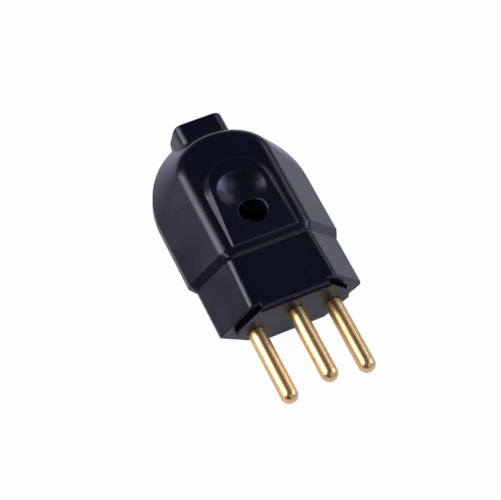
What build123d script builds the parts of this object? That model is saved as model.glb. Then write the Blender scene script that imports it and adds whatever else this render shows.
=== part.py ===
import os
from math import radians, sin, tan

from build123d import *

# Grounded plug with three round pins, in millimetres.
# X runs across the pins, Y runs from the engagement face back to the cord, Z is up.
# The origin is on the engagement face, midway between the two outer pins,
# and the plane z = 0 is the parting plane of the two shells.

# Pins
pin_radius = 2.0
pin_reach = 19.0
pin_spacing = 19.0
earth_height = 3.0
root_radius = 1.7
root_start = -0.1
collar_radius = 2.4
collar_start = 0.6
barrel_radius = 2.8
barrel_start = 9.0
barrel_end = 17.4
wire_hole_radius = 1.4
wire_hole_depth = 6.4
barrel_chamfer = 0.4

# Terminal screws
terminal_screw_y = 13.8
terminal_screw_radius = 1.5
terminal_head_radius = 2.2
terminal_head_height = 1.3
terminal_slot_width = 0.6
terminal_slot_depth = 0.7
wire_gap = 0.6

# Outline of the shells on the parting plane
wing_face_y = 1.65
neck_half_width = 17.4
step_start_y = 14.1
step_knee_y = 14.7
step_end_y = 16.4
knee_half_width = 17.75
body_half_width = 18.5
tail_start_y = 32.2
tail_end_y = 52.3
tail_angle = 56.5
wing_end_round = 0.4

# Upper shell, heights above the parting plane
flank_angle = 50.0
neck_land = 0.8
neck_top_front = 9.35
neck_top_rear = 9.85
neck_corner = 1.9
knee_top = 10.43
knee_corner = 2.3
body_land = 1.0
body_top = 10.6
body_corner = 3.4
crest_sweep = 36.0

# Lower shell, depths below the parting plane
under_angle = 41.0
under_neck_land = 0.3
under_neck_depth = 6.7
under_body_land = 1.3
under_body_depth = 7.5
under_corner = 2.2
under_crest_sweep = 0.0

# Raised pad, its dish and the screw recess
pad_foot_half_width = 8.15
pad_front_y = 16.3
pad_front_top = 10.85
pad_crest_y = 30.0
pad_crest_top = 11.8
pad_arch_y = 30.2
pad_tail_drop = 1.3
pad_draft = 45.0
pad_round = 0.25
dish_y = 29.3
dish_radius = 5.7
dish_depth = 1.5
recess_y = 23.2
recess_radius = 3.2
recess_chamfer = 0.25

# Brow of the upper shell over the pin carrier
brow_y = 0.45
brow_half_width = 8.2
brow_round = 0.8

# Cord spout
spout_start_y = 44.0
spout_end_y = 53.6
spout_half_width = 6.7
spout_land = 0.5
spout_top = 6.5
spout_angle = 82.0
spout_depth = 5.0
spout_corner = 2.3
spout_end_round = 0.5
cord_bore_radius = 4.0
cord_bore_height = 0.6
cord_bore_start_y = 46.5
cord_seat_half_width = 6.4
cord_seat_end_y = 52.0

# Walls and the opening for the pin carrier
wall = 2.0
neck_wall = 1.8
under_neck_wall = 2.2
neck_roof = 8.25
body_roof = 8.5
cavity_start_y = 18.3
opening_half_width = 13.7
floor_depth = 5.5
clearance = 0.15
overshoot = 1.0

# Pin carrier
plate_thickness = 0.5
carrier_depth = 9.0
carrier_gap = 1.3
lug_reach = 15.2
lug_front_y = 4.2
lug_rear_y = 7.4
lug_half_height = 0.9
barrier_x = 4.6
barrier_width = 1.4
barrier_end_y = 17.0

# Shell screw, its bosses and its nut
screw_radius = 1.5
screw_hole_radius = 1.7
screw_head_radius = 2.65
screw_seat = 2.2
screw_head_height = 1.8
screw_slot_width = 0.8
screw_slot_depth = 0.9
boss_radius = 4.6
nut_across_flats = 5.5
nut_height = 2.4
nut_ledge = 4.9

# Cord clamp
clamp_y = 39.5
clamp_half_length = 10.6
clamp_width = 5.0
clamp_thickness = 2.6
clamp_arch_radius = 6.2
clamp_screw_x = 8.4
clamp_screw_radius = 1.4
clamp_head_radius = 2.2
clamp_head_height = 1.5
clamp_screw_length = 7.4
clamp_post_radius = 2.6
saddle_half_width = 5.2


def section(y, half_width, land, height, angle, corner, side):
    """Half of a hexagonal section in the plane of this y, on one side of the parting plane.

    A short upright land carries a flank at the given angle up to a flat crest,
    and the two crest corners are rounded. side is 1 for upper and -1 for lower.
    """
    crest = half_width - (height - land) / tan(radians(angle))
    right = [(half_width, 0), (half_width, side * land), (crest, side * height)]
    points = right + [(-x, z) for x, z in reversed(right)]
    face = Face(Wire(Polyline(*[(x, y, z) for x, z in points], close=True).edges()))
    if corner == 0:
        return face
    crests = [v for v in face.vertices() if abs(abs(v.Z) - height) < 1e-6]
    return face.fillet_2d(corner, crests)


def prism(sections):
    """Solid through sections that follow each other along Y, with straight rulings."""
    return loft(sections, ruled=True)


def tail_outline(z, half_width, start_y, end_y, front_y):
    """Body outline at one height: straight sides that end in half an ellipse."""
    sides = Polyline(
        (-half_width, start_y, z),
        (-half_width, front_y, z),
        (half_width, front_y, z),
        (half_width, start_y, z),
    )
    tail = Plane(origin=(0, 0, z)) * EllipticalCenterArc(
        (0, start_y), half_width, end_y - start_y, start_angle=0, arc_size=180
    )
    return Face(Wire(sides.edges() + tail.edges()))


def body_block(half_width, end_y, land, height, angle, sweep, corner, front_y, side):
    """Body half: an upright land, leaning flanks and a rounded crest.

    The rear is steeper than the flanks, and a sweep in degrees runs the straight sides of the crest
    further back than those of the land.
    """
    rise = height - land
    foot = tail_outline(0, half_width, tail_start_y, end_y, front_y)
    start = tail_outline(side * land, half_width, tail_start_y, end_y, front_y)
    crest = tail_outline(
        side * height,
        half_width - rise / tan(radians(angle)),
        tail_start_y + rise * tan(radians(sweep)),
        end_y - rise / tan(radians(tail_angle)),
        front_y,
    )
    block = extrude(foot, amount=land, dir=(0, 0, side)) + loft([start, crest], ruled=True)
    if corner == 0:
        return block
    rim = [
        e
        for e in block.edges()
        if abs(abs(e.center().Z) - height) < 1e-3 and e.center().Y > front_y + 0.1
    ]
    return fillet(rim, corner)


def box_between(low, high):
    """Box from its lowest to its highest corner."""
    size = [h - l for l, h in zip(low, high)]
    middle = [(l + h) / 2 for l, h in zip(low, high)]
    return Pos(*middle) * Box(*size)


def rod(radius, start, length, direction):
    """Cylinder of the given length that starts at a point and runs in a direction."""
    return extrude(Plane(origin=start, z_dir=direction) * Circle(radius), amount=length)


def upper_outside():
    """Outer form of the upper shell before its hollows."""
    neck_front = section(
        wing_face_y, neck_half_width, neck_land, neck_top_front, flank_angle, neck_corner, 1
    )
    neck_rear = section(
        step_start_y, neck_half_width, neck_land, neck_top_rear, flank_angle, neck_corner, 1
    )
    knee = section(step_knee_y, knee_half_width, neck_land, knee_top, flank_angle, knee_corner, 1)
    rim = section(step_end_y, body_half_width, body_land, body_top, flank_angle, body_corner, 1)
    body = body_block(
        body_half_width, tail_end_y, body_land, body_top, flank_angle, crest_sweep, body_corner,
        step_end_y, 1,
    )
    block = prism([neck_front, neck_rear]) + prism([neck_rear, knee]) + prism([knee, rim]) + body
    return fillet(wing_ends(block), wing_end_round) + spout(spout_top, 1)


def wing_ends(block):
    """Edges round the front end of a shell half, apart from those on the parting plane."""
    return [e for e in block.edges() if abs(e.center().Y - wing_face_y) < 1e-3 and abs(e.center().Z) > 1e-3]


def lower_outside():
    """Outer form of the lower shell before its hollows."""
    neck_front = section(
        wing_face_y, neck_half_width, under_neck_land, under_neck_depth, under_angle, under_corner, -1
    )
    neck_rear = section(
        step_start_y, neck_half_width, under_neck_land, under_neck_depth, under_angle, under_corner, -1
    )
    rim = section(
        step_end_y, body_half_width, under_body_land, under_body_depth, under_angle, under_corner, -1
    )
    body = body_block(
        body_half_width, tail_end_y, under_body_land, under_body_depth, under_angle, under_crest_sweep,
        under_corner, step_end_y, -1,
    )
    block = prism([neck_front, neck_rear]) + prism([neck_rear, rim]) + body
    return fillet(wing_ends(block), wing_end_round) + spout(spout_depth, -1)


def spout(height, side):
    """Half of the short spout that the cord leaves through."""
    land = spout_land * height / spout_top
    start = section(spout_start_y, spout_half_width, land, height, spout_angle, spout_corner, side)
    end = section(spout_end_y, spout_half_width, land, height, spout_angle, spout_corner, side)
    block = prism([start, end])
    end_edges = [
        e for e in block.edges() if abs(e.center().Y - spout_end_y) < 1e-3 and abs(e.center().Z) > 1e-3
    ]
    return fillet(end_edges, spout_end_round)


def pad_crest_slope():
    """Rise of the pad's crest for each millimetre towards the rear."""
    return (pad_crest_top - pad_front_top) / (pad_crest_y - pad_front_y)


def pad():
    """Raised pad: leaning walls with an arched rear, under a crest that climbs and then falls."""
    arch_rear = pad_arch_y + pad_foot_half_width
    sides = Polyline(
        (-pad_foot_half_width, pad_arch_y),
        (-pad_foot_half_width, pad_front_y),
        (pad_foot_half_width, pad_front_y),
        (pad_foot_half_width, pad_arch_y),
    )
    arch = ThreePointArc(sides @ 1, (0, arch_rear), sides @ 0)
    foot = Pos(0, 0, body_top) * Face(Wire(sides.edges() + arch.edges()))
    walls = extrude(foot, amount=overshoot, dir=(0, 0, -1))
    walls += extrude(foot, amount=2 * overshoot, taper=pad_draft)
    climb = Line(
        (0, pad_front_y - overshoot, pad_front_top - overshoot * pad_crest_slope()),
        (0, pad_crest_y, pad_crest_top),
    )
    fall_end = (0, arch_rear + overshoot, pad_crest_top - pad_tail_drop)
    fall = TangentArc(climb @ 1, fall_end, tangent=climb % 1)
    under = Polyline(
        fall @ 1,
        (0, arch_rear + overshoot, body_roof),
        (0, pad_front_y - overshoot, body_roof),
        climb @ 0,
    )
    flank = Face(Wire(climb.edges() + fall.edges() + under.edges()))
    crown = extrude(flank, amount=2 * pad_foot_half_width, both=True)
    block = walls & crown
    rim = [e for e in block.edges() if e.center().Z > body_top + 0.1 and e.length > overshoot]
    return fillet(rim, pad_round)


def crest_plane(y):
    """Plane on the climbing crest of the pad, centred at this y."""
    rise = pad_crest_slope()
    return Plane(origin=(0, y, pad_front_top + rise * (y - pad_front_y)), z_dir=(0, -rise, 1))


def dish():
    """Ball that leaves the shallow finger dish, square to the crest of the pad."""
    ball_radius = (dish_radius**2 + dish_depth**2) / (2 * dish_depth)
    return crest_plane(dish_y) * Pos(0, 0, ball_radius - dish_depth) * Sphere(ball_radius)


def recess():
    """Upright recess for the shell screw, with its rim chamfered along the crest of the pad."""
    mouth = crest_plane(recess_y) * Circle(recess_radius + recess_chamfer)
    return rod(recess_radius, (0, recess_y, screw_seat), body_top, (0, 0, 1)) + extrude(
        mouth, amount=-2 * recess_chamfer, taper=45
    )


def neck_profile(y, upper_wall, lower_wall, half_width, top, bottom):
    """Face across the neck whose flanks lie inside the shells' outer flanks by the given walls."""
    upper_foot = neck_half_width - upper_wall / sin(radians(flank_angle))
    lower_foot = neck_half_width - lower_wall / sin(radians(under_angle))
    upper_land = neck_land + (upper_foot - half_width) * tan(radians(flank_angle))
    lower_land = under_neck_land + (lower_foot - half_width) * tan(radians(under_angle))
    right = [
        (lower_foot - (bottom - under_neck_land) / tan(radians(under_angle)), -bottom),
        (half_width, -lower_land),
        (half_width, upper_land),
        (upper_foot - (top - neck_land) / tan(radians(flank_angle)), top),
    ]
    points = right + [(-x, z) for x, z in reversed(right)]
    return Face(Wire(Polyline(*[(x, y, z) for x, z in points], close=True).edges()))


def neck_hollow():
    """Opening through the neck of both shells, from the front to the body's cavity."""
    face = neck_profile(0, neck_wall, under_neck_wall, opening_half_width, neck_roof, floor_depth)
    return extrude(face, amount=cavity_start_y + clearance, dir=(0, 1, 0))


def body_hollow(land, height, angle, sweep, side):
    """Cavity of one body half, short of the solid seat round the cord bore."""
    lean = wall * (1 / sin(radians(angle)) - 1) * tan(radians(angle))
    block = body_block(
        body_half_width - wall, tail_end_y - wall, land - lean, height, angle, sweep, 0, cavity_start_y,
        side,
    )
    seat = box_between(
        (-cord_seat_half_width, cord_bore_start_y, -body_top),
        (cord_seat_half_width, cord_seat_end_y, body_top),
    )
    return block - seat


def lugs(grow=0.0):
    """Pair of lugs at the parting plane, grown all round by the given amount."""
    right = box_between(
        (opening_half_width - overshoot, lug_front_y - grow, -lug_half_height - grow),
        (lug_reach + grow, lug_rear_y + grow, lug_half_height + grow),
    )
    return right + mirror(right, about=Plane.YZ)


def cord_bore():
    """Round way for the cord, from in front of the clamp out through the end of the spout."""
    start = clamp_y - clamp_width
    return rod(cord_bore_radius, (0, start, cord_bore_height), spout_end_y + overshoot - start, (0, 1, 0))


def upper_shell():
    """Upper shell: pad, dish, screw recess and brow outside, and a screw boss in its cavity."""
    outside = upper_outside() + pad() + box_between(
        (-brow_half_width, brow_y, neck_roof), (brow_half_width, wing_face_y + overshoot, neck_top_front)
    )
    brow_edge = [
        e
        for e in outside.edges()
        if abs(e.center().Y - brow_y) < 1e-3 and abs(e.center().Z - neck_top_front) < 1e-3
    ]
    outside = fillet(brow_edge, brow_round)
    boss = rod(boss_radius, (0, recess_y, 0), body_top, (0, 0, 1))
    hollow = body_hollow(body_land, body_roof, flank_angle, crest_sweep, 1) - boss
    screw_way = rod(screw_hole_radius, (0, recess_y, -overshoot), screw_seat + 2 * overshoot, (0, 0, 1))
    return outside - neck_hollow() - hollow - dish() - recess() - screw_way - cord_bore() - lugs(clearance)


def lower_shell():
    """Lower shell: its cavity holds the nut boss, the cord saddle and the clamp posts."""
    boss = rod(boss_radius, (0, recess_y, 0), under_body_depth, (0, 0, -1))
    saddle = box_between(
        (-saddle_half_width, clamp_y - clamp_width / 2, -under_body_depth),
        (saddle_half_width, clamp_y + clamp_width / 2, 0),
    )
    hollow = body_hollow(under_body_land, floor_depth, under_angle, under_crest_sweep, -1) - boss - saddle
    for x in (-clamp_screw_x, clamp_screw_x):
        hollow -= rod(clamp_post_radius, (x, clamp_y, 0), under_body_depth, (0, 0, -1))
    shell = lower_outside() - neck_hollow() - hollow - cord_bore() - lugs(clearance)
    shell -= rod(screw_hole_radius, (0, recess_y, 0), under_body_depth, (0, 0, -1))
    pocket = Pos(0, recess_y, -nut_ledge) * RegularPolygon(
        nut_across_flats / 2 + clearance, 6, major_radius=False
    )
    shell -= extrude(pocket, amount=under_body_depth, dir=(0, 0, -1))
    for x in (-clamp_screw_x, clamp_screw_x):
        shell -= rod(clamp_screw_radius, (x, clamp_y, 0), clamp_screw_length - clamp_thickness, (0, 0, -1))
    return shell


def pin_places():
    """Name and place of each pin: its distance from the middle and its height."""
    return {
        "live": (-pin_spacing / 2, 0),
        "neutral": (pin_spacing / 2, 0),
        "earth": (0, earth_height),
    }


def pin_carrier():
    """Moulded insert: a face plate, a block set back along its upper flanks, lugs and two barriers."""
    plate = neck_profile(
        0, neck_wall + clearance, under_neck_wall + clearance,
        opening_half_width - clearance, neck_roof - clearance, floor_depth,
    )
    block = neck_profile(
        plate_thickness, neck_wall + carrier_gap, under_neck_wall + clearance,
        opening_half_width - clearance, neck_roof - clearance, floor_depth,
    )
    carrier = extrude(plate, amount=plate_thickness, dir=(0, 1, 0))
    carrier += extrude(block, amount=carrier_depth - plate_thickness, dir=(0, 1, 0))
    carrier += lugs()
    for side in (-1, 1):
        x = side * barrier_x
        carrier += box_between(
            (x - barrier_width / 2, carrier_depth - overshoot, -floor_depth),
            (x + barrier_width / 2, barrier_end_y, neck_roof - 2 * clearance),
        )
    for x, z in pin_places().values():
        carrier -= rod(pin_radius, (x, root_start, z), collar_start - root_start, (0, 1, 0))
        carrier -= rod(collar_radius, (x, collar_start, z), carrier_depth, (0, 1, 0))
    return carrier


def pin(x, z):
    """Turned pin: round nose, undercut root, collar held by the carrier, and barrel for the wire."""
    nose_y = -pin_reach + pin_radius
    body = rod(pin_radius, (x, nose_y, z), root_start - nose_y, (0, 1, 0))
    body += rod(root_radius, (x, root_start, z), collar_start - root_start, (0, 1, 0))
    body += Pos(x, nose_y, z) * Sphere(pin_radius)
    body += rod(collar_radius, (x, collar_start, z), barrel_start - collar_start, (0, 1, 0))
    barrel = rod(barrel_radius, (x, barrel_start, z), barrel_end - barrel_start, (0, 1, 0))
    body += chamfer(barrel.edges().filter_by(GeomType.CIRCLE), barrel_chamfer)
    body -= rod(wire_hole_radius, (x, barrel_end - wire_hole_depth, z), wire_hole_depth, (0, 1, 0))
    return body - rod(terminal_screw_radius, (x, terminal_screw_y, z), barrel_radius, (0, 0, 1))


def slotted_screw(x, y, seat, shank_radius, shank_length, head_radius, head_height, slot_width, slot_depth):
    """Upright screw with a slotted pan head, its head resting at the seat height."""
    head = rod(head_radius, (x, y, seat), head_height, (0, 0, 1))
    head = chamfer(head.edges().filter_by(GeomType.CIRCLE).sort_by(Axis.Z)[-1], head_height / 3)
    slot = box_between(
        (x - head_radius, y - slot_width / 2, seat + head_height - slot_depth),
        (x + head_radius, y + slot_width / 2, seat + head_height + overshoot),
    )
    return head - slot + rod(shank_radius, (x, y, seat), shank_length, (0, 0, -1))


def terminal_screw(x, z):
    """Screw that clamps one wire in its pin's barrel."""
    return slotted_screw(
        x, terminal_screw_y, z + barrel_radius, terminal_screw_radius, barrel_radius - wire_gap,
        terminal_head_radius, terminal_head_height, terminal_slot_width, terminal_slot_depth,
    )


def shell_screw():
    """Screw down the recess, through both shells and into the nut."""
    return slotted_screw(
        0, recess_y, screw_seat, screw_radius, screw_seat + nut_ledge + nut_height,
        screw_head_radius, screw_head_height, screw_slot_width, screw_slot_depth,
    )


def shell_nut():
    """Hexagonal nut in the lower shell's pocket, round the end of the shell screw."""
    outline = RegularPolygon(nut_across_flats / 2, 6, major_radius=False) - Circle(screw_radius)
    return extrude(Pos(0, recess_y, -nut_ledge) * outline, amount=nut_height, dir=(0, 0, -1))


def clamp_bar():
    """Moulded strap with an arch over the cord and a screw hole at each end."""
    ends = box_between(
        (-clamp_half_length, clamp_y - clamp_width / 2, 0),
        (clamp_half_length, clamp_y + clamp_width / 2, clamp_thickness),
    )
    front = clamp_y - clamp_width / 2
    arch = rod(clamp_arch_radius, (0, front, cord_bore_height), clamp_width, (0, 1, 0))
    below = box_between(
        (-clamp_half_length, front, -clamp_arch_radius), (clamp_half_length, front + clamp_width, 0)
    )
    bar = ends + arch - below
    bar -= rod(cord_bore_radius, (0, front, cord_bore_height), clamp_width, (0, 1, 0))
    for x in (-clamp_screw_x, clamp_screw_x):
        bar -= rod(clamp_screw_radius, (x, clamp_y, 0), clamp_thickness, (0, 0, 1))
    return bar


def clamp_screw(x):
    """Screw through one end of the strap into its post."""
    return slotted_screw(
        x, clamp_y, clamp_thickness, clamp_screw_radius, clamp_screw_length,
        clamp_head_radius, clamp_head_height, terminal_slot_width, terminal_slot_depth,
    )


nodes = {
    "upper_shell": upper_shell(),
    "lower_shell": lower_shell(),
    "pin_carrier": pin_carrier(),
    "shell_screw": shell_screw(),
    "shell_nut": shell_nut(),
    "cord_clamp_bar": clamp_bar(),
    "cord_clamp_screw_left": clamp_screw(-clamp_screw_x),
    "cord_clamp_screw_right": clamp_screw(clamp_screw_x),
}
for name, (x, z) in pin_places().items():
    nodes[name + "_pin"] = pin(x, z)
    nodes[name + "_terminal_screw"] = terminal_screw(x, z)

os.makedirs("parts", exist_ok=True)
for name, shape in nodes.items():
    export_step(shape, f"parts/{name}.step")
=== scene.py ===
import math

import bpy
from mathutils import Matrix, Vector


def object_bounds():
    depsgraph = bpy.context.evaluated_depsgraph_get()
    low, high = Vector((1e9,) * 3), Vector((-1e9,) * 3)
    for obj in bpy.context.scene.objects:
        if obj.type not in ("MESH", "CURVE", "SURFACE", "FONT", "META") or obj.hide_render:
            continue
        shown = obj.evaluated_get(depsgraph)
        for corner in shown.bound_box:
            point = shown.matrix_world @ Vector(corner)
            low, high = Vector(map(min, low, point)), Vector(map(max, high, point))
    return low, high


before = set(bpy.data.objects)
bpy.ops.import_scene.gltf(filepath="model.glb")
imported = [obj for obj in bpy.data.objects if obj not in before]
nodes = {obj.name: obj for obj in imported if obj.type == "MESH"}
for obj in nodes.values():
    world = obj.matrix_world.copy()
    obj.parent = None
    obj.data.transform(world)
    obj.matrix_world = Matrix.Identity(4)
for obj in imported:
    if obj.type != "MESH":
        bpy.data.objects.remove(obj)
cad_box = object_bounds()
scene = bpy.context.scene
scene.view_settings.view_transform = "Standard"


# The view: a long lens stands high over the front left corner of the plug, and is
# rolled a little, so that the cord spout points to the upper left of the picture.
# Lengths are in metres, here and in all that follows, and the lens is in millimetres.
view_aim = Vector((-0.00165, 0.01969, 0.0))
view_distance = 0.45455
view_elevation = math.radians(59.10)
view_azimuth = math.radians(-29.79)
view_roll = math.radians(-5.47)
view_lens = 143.71
view_sensor = 36.0
view_near = 0.01
view_far = 20.0

to_camera = Vector(
    (
        math.cos(view_elevation) * math.sin(view_azimuth),
        -math.cos(view_elevation) * math.cos(view_azimuth),
        math.sin(view_elevation),
    )
)
camera = bpy.data.objects.new("camera", bpy.data.cameras.new("camera"))
camera.data.lens = view_lens
camera.data.sensor_width = view_sensor
camera.data.clip_start = view_near
camera.data.clip_end = view_far
level_right = Vector((0, 0, 1)).cross(to_camera).normalized()
level_up = to_camera.cross(level_right)
right = math.cos(view_roll) * level_right - math.sin(view_roll) * level_up
turn = Matrix((right, to_camera.cross(right), to_camera)).transposed().to_4x4()
camera.matrix_world = Matrix.Translation(view_aim + view_distance * to_camera) @ turn
scene.collection.objects.link(camera)
scene.camera = camera


# The white paper sweep that the plug lies on. It is lit to white all round the plug,
# with only a faint shadow where the housing comes near it, and is clear from below.
sweep_size = 3.0
sweep_gap = 0.00005
sweep_colour = (0.74, 0.75, 0.95, 1)
sweep_shadow_share = 0.03
sweep_mirror_share = 0.40
plain_white = (1, 1, 1, 1)


def node(tree, kind, feeds=None, **settings):
    """Adds a shader node; a feed is the socket to link to that input, or the input's value."""
    made = tree.nodes.new("ShaderNode" + kind)
    for key, value in settings.items():
        setattr(made, key, value)
    for key, value in (feeds or {}).items():
        if isinstance(value, bpy.types.NodeSocket):
            tree.links.new(value, made.inputs[key])
        else:
            made.inputs[key].default_value = value
    return made


def combined(tree, operation, first, second):
    """Two values made into one, such as their product or the larger of them."""
    return node(tree, "Math", {0: first, 1: second}, operation=operation).outputs[0]


def new_material(name):
    """Node material; returns it with its tree and its Principled shader."""
    made = bpy.data.materials.new(name)
    made.use_nodes = True
    return made, made.node_tree, made.node_tree.nodes["Principled BSDF"]


def white_share(tree, direct, mirrored):
    """Share of plain white in the paper: as seen straight or through glass, and as mirrored."""
    rays = node(tree, "LightPath").outputs
    straight = combined(tree, "MAXIMUM", rays["Is Camera Ray"], rays["Is Transmission Ray"])
    seen_share = combined(tree, "MULTIPLY", straight, direct)
    mirrored_share = combined(tree, "MULTIPLY", rays["Is Glossy Ray"], mirrored)
    return combined(tree, "MAXIMUM", seen_share, mirrored_share)


half = sweep_size / 2
low = cad_box[0].z - sweep_gap
sweep_corners = [(-half, -half, low), (half, -half, low), (half, half, low), (-half, half, low)]
sweep_mesh = bpy.data.meshes.new("sweep")
sweep_mesh.from_pydata(sweep_corners, [], [(0, 1, 2, 3)])
sweep = bpy.data.objects.new("sweep", sweep_mesh)
scene.collection.objects.link(sweep)
material, tree, shader = new_material("white_paper")
shader.inputs["Base Color"].default_value = sweep_colour
shader.inputs["Roughness"].default_value = 1.0
shader.inputs["Specular IOR Level"].default_value = 0.0
paper_white = node(tree, "Emission", {"Color": plain_white, "Strength": 1.0})
share = white_share(tree, 1 - sweep_shadow_share, sweep_mirror_share)
paper = node(tree, "MixShader", {0: share, 1: shader.outputs[0], 2: paper_white.outputs[0]})
below = node(tree, "NewGeometry").outputs["Backfacing"]
clear = node(tree, "BsdfTransparent")
mixed = node(tree, "MixShader", {0: below, 1: paper.outputs[0], 2: clear.outputs[0]})
tree.links.new(mixed.outputs[0], tree.nodes["Material Output"].inputs[0])
sweep.data.materials.append(material)


# The light: a large soft box stands left of the plug and a cooler one right of it, with
# four dim ones that fill the gaps between them, in a room that is otherwise nearly dark.
box_distance = 1.0
room_colour = (0.035, 0.037, 0.050, 1)
soft_boxes = {
    "left_box": dict(
        azimuth=-70, elevation=30.5, width=0.72, height=0.60, radiance=5.8,
        colour=(0.99, 0.97, 1.08),
    ),
    "left_bounce": dict(
        azimuth=-45, elevation=50, width=0.24, height=0.26, radiance=2.2,
        colour=(1.00, 0.98, 1.06),
    ),
    "right_box": dict(
        azimuth=98, elevation=34, width=0.72, height=0.42, radiance=4.0,
        colour=(0.80, 0.92, 1.28),
    ),
    "right_haze": dict(
        azimuth=86, elevation=57, width=0.36, height=0.30, radiance=0.9,
        colour=(0.80, 0.92, 1.28),
    ),
    "right_bounce": dict(
        azimuth=58, elevation=30, width=0.34, height=0.40, radiance=1.4,
        colour=(0.97, 0.97, 1.08),
    ),
    "front_fill": dict(
        azimuth=160, elevation=35, width=0.70, height=1.00, radiance=0.6,
        colour=(0.94, 0.96, 1.18),
    ),
}


def soft_box(name, azimuth, elevation, width, height, radiance, colour):
    """Area lamp that faces the plug; azimuth is in degrees from the cord end by the right."""
    lamp = bpy.data.lights.new(name, "AREA")
    lamp.shape = "RECTANGLE"
    lamp.size = width
    lamp.size_y = height
    lamp.energy = radiance * math.pi * width * height
    lamp.color = colour
    level = math.cos(math.radians(elevation))
    towards = Vector(
        (
            level * math.sin(math.radians(azimuth)),
            level * math.cos(math.radians(azimuth)),
            math.sin(math.radians(elevation)),
        )
    )
    facing = towards.to_track_quat("Z", "Y").to_matrix().to_4x4()
    box = bpy.data.objects.new(name, lamp)
    box.matrix_world = Matrix.Translation(view_aim + box_distance * towards) @ facing
    box.visible_camera = False
    scene.collection.objects.link(box)


for name, values in soft_boxes.items():
    soft_box(name, **values)

room = bpy.data.worlds.new("room")
scene.world = room
room.use_nodes = True
tree = room.node_tree
dark = tree.nodes["Background"]
dark.inputs["Color"].default_value = room_colour
white = node(tree, "Background", {"Color": plain_white, "Strength": 1.0})
camera_ray = node(tree, "LightPath").outputs["Is Camera Ray"]
mixed = node(tree, "MixShader", {0: camera_ray, 1: dark.outputs[0], 2: white.outputs[0]})
tree.links.new(mixed.outputs[0], tree.nodes["World Output"].inputs[0])


# The housing: two shells moulded in glossy black plastic with a slight blue cast, which
# one long screw holds together. The mould leaves a soft grain, the edges are painted a
# little paler as a painted highlight, and the flats carry faint wipe marks.
housing_colour = (0.0024, 0.0036, 0.0105, 1)
housing_speckle = (0.0075, 0.0070, 0.0160, 1)
# paler colour painted along the housing's edges: a painted highlight
housing_edge_highlight_colour = (0.0110, 0.0135, 0.0240, 1)
housing_gloss_tint = (0.86, 0.84, 1.0, 1)
housing_ior = 1.5
housing_roughness = (0.21, 0.29)
housing_wiped_roughness = 0.12
housing_edge_radius = 0.00045
housing_grain = 0.00028
housing_grain_strength = 1.0
housing_cloud = 0.014
housing_wipe_stretch = (260.0, 1900.0, 700.0)
housing_wipe_width = 0.012
housing_wipe_strength = 0.3
speck_span = (0.50, 0.72)
grain_depth = 0.000020
grain_detail = 2.0
wipe_depth = 0.000004
cloud_detail = 3.0
cloud_span = (0.3, 0.7)
edge_samples = 6
edge_likeness = 0.93
patches_per_metre = 160.0
patch_span = (0.45, 0.62)
mark_detail = 1.0


def new_group(name, inputs, outputs):
    """Shader node group; inputs have their usual values here, outputs their socket types."""
    made = bpy.data.node_groups.new(name, "ShaderNodeTree")
    for label, value in inputs.items():
        kind = "NodeSocketFloat" if isinstance(value, float) else "NodeSocketVector"
        socket = made.interface.new_socket(label, in_out="INPUT", socket_type=kind)
        socket.default_value = value
    for label, kind in outputs.items():
        made.interface.new_socket(label, in_out="OUTPUT", socket_type=kind)
    given = made.nodes.new("NodeGroupInput").outputs
    return made, given, made.nodes.new("NodeGroupOutput").inputs


def placed(tree, group, feeds):
    """Outputs of the group's node in a material, with that material's own values."""
    made = tree.nodes.new("ShaderNodeGroup")
    made.node_tree = group
    for key, value in feeds.items():
        made.inputs[key].default_value = value
    return made.outputs


def spread(tree, value, span, to_span=(0.0, 1.0)):
    """Takes a value from one span over to another, and cuts off what lies outside."""
    feeds = {"Value": value, "From Min": span[0], "From Max": span[1]}
    feeds.update({"To Min": to_span[0], "To Max": to_span[1]})
    return node(tree, "MapRange", feeds).outputs[0]


def blend(tree, mask, first, second):
    """The first colour where the mask is 0, going over to the second where it is 1."""
    return node(tree, "MixRGB", {0: mask, 1: first, 2: second}).outputs[0]


def roughened(tree, marks, amount, roughness):
    """The roughness, raised by an amount where there are marks."""
    feeds = {0: marks, 1: amount, 2: roughness}
    return node(tree, "Math", feeds, operation="MULTIPLY_ADD").outputs[0]


def relief(tree, height, depth, strength, under, sunk=False):
    """Normal of a fine relief of this depth, over the normal of what is under it."""
    feeds = {"Height": height, "Distance": depth, "Strength": strength, "Normal": under}
    return node(tree, "Bump", feeds, invert=sunk).outputs[0]


def finish(material, tree, shader, colour, roughness, normal, names):
    """Feeds what varies to the shader, and makes the material the only one of these nodes."""
    for label, socket in (("Base Color", colour), ("Roughness", roughness), ("Normal", normal)):
        tree.links.new(socket, shader.inputs[label])
    for name in names:
        nodes[name].data.materials.clear()
        nodes[name].data.materials.append(material)


# soft_edges rounds the shading of a sharp edge over a radius, and marks where it does
soft_edges, given, result = new_group(
    "soft_edges",
    {"Radius": 0.0002},
    {"Normal": "NodeSocketVector", "Edge": "NodeSocketFloat"},
)
rounded = node(soft_edges, "Bevel", {"Radius": given["Radius"]}, samples=edge_samples).outputs[0]
surface = node(soft_edges, "NewGeometry").outputs["Normal"]
likeness = node(soft_edges, "VectorMath", {0: rounded, 1: surface}, operation="DOT_PRODUCT")
edge = spread(soft_edges, likeness.outputs["Value"], (1.0, edge_likeness))
soft_edges.links.new(rounded, result["Normal"])
soft_edges.links.new(edge, result["Edge"])

# fine_grain is a fine even texture, with slow clouds that vary it over the piece
fine_grain, given, result = new_group(
    "fine_grain",
    {"Grain": 0.0003, "Cloud": 0.012},
    {"Height": "NodeSocketFloat", "Clouds": "NodeSocketFloat"},
)
place = node(fine_grain, "TexCoord").outputs["Object"]
for size, detail, label in (("Grain", grain_detail, "Height"), ("Cloud", cloud_detail, "Clouds")):
    scale = combined(fine_grain, "DIVIDE", 1.0, given[size])
    noise = node(fine_grain, "TexNoise", {"Vector": place, "Scale": scale, "Detail": detail})
    fine_grain.links.new(noise.outputs[0], result[label])

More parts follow.
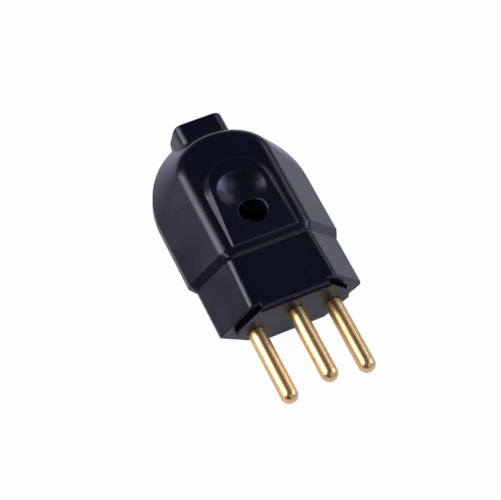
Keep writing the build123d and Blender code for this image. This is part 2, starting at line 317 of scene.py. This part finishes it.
# rub_marks are thin broken lines: the level lines of a noise, whose cells are so many to
# the metre along each axis
rub_marks, given, result = new_group(
    "rub_marks",
    {"Stretch": (1.0, 1.0, 1.0), "Width": 0.01},
    {"Marks": "NodeSocketFloat"},
)
place = node(rub_marks, "TexCoord").outputs["Object"]
feeds = {0: place, 1: given["Stretch"]}
stretched = node(rub_marks, "VectorMath", feeds, operation="MULTIPLY").outputs[0]
feeds = {"Vector": stretched, "Scale": 1.0, "Detail": mark_detail}
centred = combined(rub_marks, "SUBTRACT", node(rub_marks, "TexNoise", feeds).outputs[0], 0.5)
from_line = node(rub_marks, "Math", {0: centred}, operation="ABSOLUTE").outputs[0]
lines = spread(rub_marks, from_line, (0.0, given["Width"]), (1.0, 0.0))
feeds = {"Vector": place, "Scale": patches_per_metre, "Detail": mark_detail}
broken = spread(rub_marks, node(rub_marks, "TexNoise", feeds).outputs[0], patch_span)
rub_marks.links.new(combined(rub_marks, "MULTIPLY", lines, broken), result["Marks"])

material, tree, shader = new_material("black_housing_plastic")
edges = placed(tree, soft_edges, {"Radius": housing_edge_radius})
grain = placed(tree, fine_grain, {"Grain": housing_grain, "Cloud": housing_cloud})
wipes = placed(tree, rub_marks, {"Stretch": housing_wipe_stretch, "Width": housing_wipe_width})
# the edge mask, thinned in clouds, paints the housing paler along its edges: a painted highlight
painted_edge_highlight = combined(tree, "MULTIPLY", edges["Edge"], grain["Clouds"])
specks = spread(tree, grain["Height"], speck_span)
colour = blend(tree, painted_edge_highlight, blend(tree, specks, housing_colour, housing_speckle), housing_edge_highlight_colour)
clouded = spread(tree, grain["Clouds"], cloud_span, housing_roughness)
rough = roughened(tree, wipes["Marks"], housing_wiped_roughness, clouded)
grained = relief(tree, grain["Height"], grain_depth, housing_grain_strength, edges["Normal"])
wiped = relief(tree, wipes["Marks"], wipe_depth, housing_wipe_strength, grained, sunk=True)
shader.inputs["IOR"].default_value = housing_ior
shader.inputs["Specular Tint"].default_value = housing_gloss_tint
finish(material, tree, shader, colour, rough, wiped, ("upper_shell", "lower_shell"))


# The pin carrier and the bar that clamps the cord: a duller, greyer moulding with a
# coarser grain, whose flat front is the face that meets the socket.
carrier_colour = (0.017, 0.015, 0.022, 1)
carrier_pale = (0.028, 0.025, 0.034, 1)
carrier_pale_span = (0.35, 0.65)
carrier_roughness = (0.36, 0.48)
carrier_edge_radius = 0.00015
carrier_grain = 0.00035
carrier_grain_strength = 0.6
carrier_cloud = 0.006

material, tree, shader = new_material("grey_carrier_plastic")
edges = placed(tree, soft_edges, {"Radius": carrier_edge_radius})
grain = placed(tree, fine_grain, {"Grain": carrier_grain, "Cloud": carrier_cloud})
pale = spread(tree, grain["Clouds"], carrier_pale_span)
colour = blend(tree, pale, carrier_colour, carrier_pale)
rough = spread(tree, grain["Clouds"], cloud_span, carrier_roughness)
grained = relief(tree, grain["Height"], grain_depth, carrier_grain_strength, edges["Normal"])
finish(material, tree, shader, colour, rough, grained, ("pin_carrier", "cord_clamp_bar"))


# The three pins: turned from brass rod and polished, pressed into the carrier. Turning
# leaves fine rings round them, sockets rub them lengthwise, and they tarnish in clouds.
brass_colour = (0.98, 0.66, 0.30, 1)
brass_tarnish = (0.86, 0.53, 0.22, 1)
brass_tarnish_span = (0.4, 0.75)
brass_roughness = (0.32, 0.38)
brass_rubbed_roughness = 0.08
pin_edge_radius = 0.00012
pin_cloud = 0.004
pin_mark_strength = 0.15
ring_stretch = (60.0, 9000.0, 60.0)
ring_width = 0.05
ring_depth = 0.000004
rub_stretch = (5200.0, 130.0, 5200.0)
rub_width = 0.02
rub_depth = 0.000003

material, tree, shader = new_material("polished_brass")
edges = placed(tree, soft_edges, {"Radius": pin_edge_radius})
clouds = placed(tree, fine_grain, {"Cloud": pin_cloud})["Clouds"]
rings = placed(tree, rub_marks, {"Stretch": ring_stretch, "Width": ring_width})
rubs = placed(tree, rub_marks, {"Stretch": rub_stretch, "Width": rub_width})
tarnished = spread(tree, clouds, brass_tarnish_span)
colour = blend(tree, tarnished, brass_colour, brass_tarnish)
clouded = spread(tree, clouds, cloud_span, brass_roughness)
rough = roughened(tree, rubs["Marks"], brass_rubbed_roughness, clouded)
ringed = relief(tree, rings["Marks"], ring_depth, pin_mark_strength, edges["Normal"])
rubbed = relief(tree, rubs["Marks"], rub_depth, pin_mark_strength, ringed, sunk=True)
shader.inputs["Metallic"].default_value = 1.0
finish(material, tree, shader, colour, rough, rubbed, ("live_pin", "neutral_pin", "earth_pin"))


# The screws and the nut: steel with a thin zinc plating. The shell screw goes down its
# recess into the nut, the clamp screws hold the bar, and one screw holds each wire.
zinc_colour = (0.50, 0.50, 0.51, 1)
zinc_dull = (0.30, 0.29, 0.28, 1)
zinc_dull_span = (0.4, 0.7)
zinc_roughness = (0.24, 0.36)
zinc_turned_roughness = 0.1
screw_edge_radius = 0.0001
screw_grain = 0.00018
screw_grain_depth = 0.000006
screw_grain_strength = 0.4
screw_cloud = 0.0015
turning_stretch = (3800.0, 900.0, 900.0)
turning_width = 0.03

material, tree, shader = new_material("zinc_plated_steel")
edges = placed(tree, soft_edges, {"Radius": screw_edge_radius})
grain = placed(tree, fine_grain, {"Grain": screw_grain, "Cloud": screw_cloud})
turning = placed(tree, rub_marks, {"Stretch": turning_stretch, "Width": turning_width})
dulled = spread(tree, grain["Clouds"], zinc_dull_span)
colour = blend(tree, dulled, zinc_colour, zinc_dull)
clouded = spread(tree, grain["Clouds"], cloud_span, zinc_roughness)
rough = roughened(tree, turning["Marks"], zinc_turned_roughness, clouded)
grained = relief(tree, grain["Height"], screw_grain_depth, screw_grain_strength, edges["Normal"])
shader.inputs["Metallic"].default_value = 1.0
screws_and_nut = [name for name in nodes if "screw" in name or name == "shell_nut"]
finish(material, tree, shader, colour, rough, grained, screws_and_nut)
